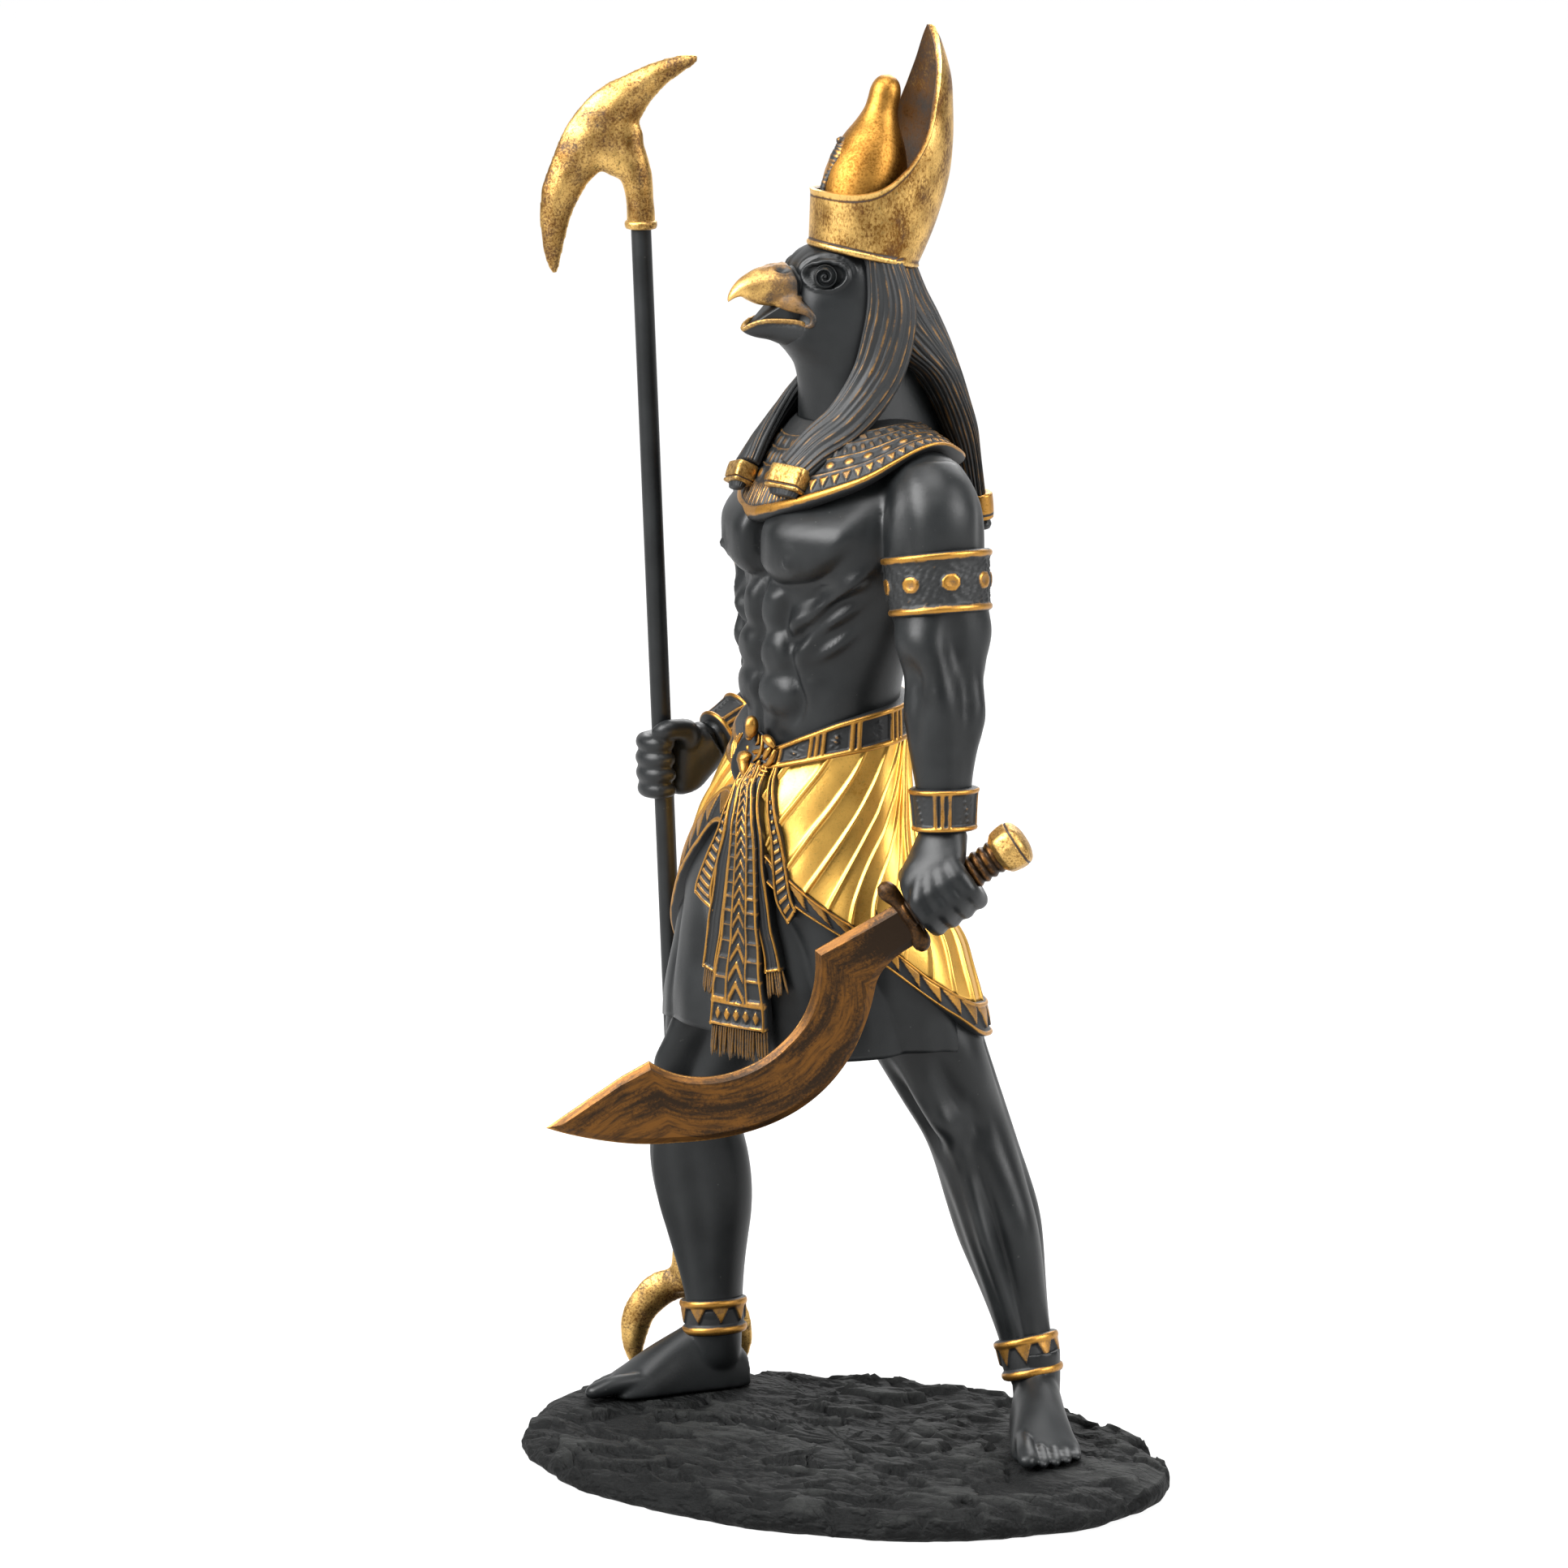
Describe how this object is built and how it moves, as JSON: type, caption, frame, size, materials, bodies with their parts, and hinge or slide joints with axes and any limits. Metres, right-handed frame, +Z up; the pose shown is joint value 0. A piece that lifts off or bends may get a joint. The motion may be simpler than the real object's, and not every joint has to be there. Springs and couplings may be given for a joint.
{
  "type": "falcon-headed guardian figure",
  "caption": "Cast figure of a striding falcon-headed guardian in a tall crown, with a forked staff and a sickle sword, on an oval rock base.",
  "frame": {"origin": "middle of the flat underside of the rock base", "axes": "+Z up, +X along the base's long axis towards the rear leg, -Y towards the side from which the face and the sword are seen"},
  "size_m": [0.1488, 0.1067, 0.2975],
  "materials": {
    "dark_rock": "matt charcoal paint over a flaky cast rock surface, greyer on its ridges",
    "black_satin": "satin black paint, the raised ridges dry-brushed with bronze and gold",
    "worn_gold": "bright gold paint with dark wash in its recesses",
    "antique_gold": "antiqued gold paint, blotched with dark brown, brighter along its edges"
  },
  "bodies": {
    "root": {"rock_base": "dark_rock", "falcon_figure": "black_satin", "staff_rod": "black_satin", "staff_head": "worn_gold", "staff_fork": "worn_gold", "sickle_sword": "antique_gold"}
  },
  "joints": []
}
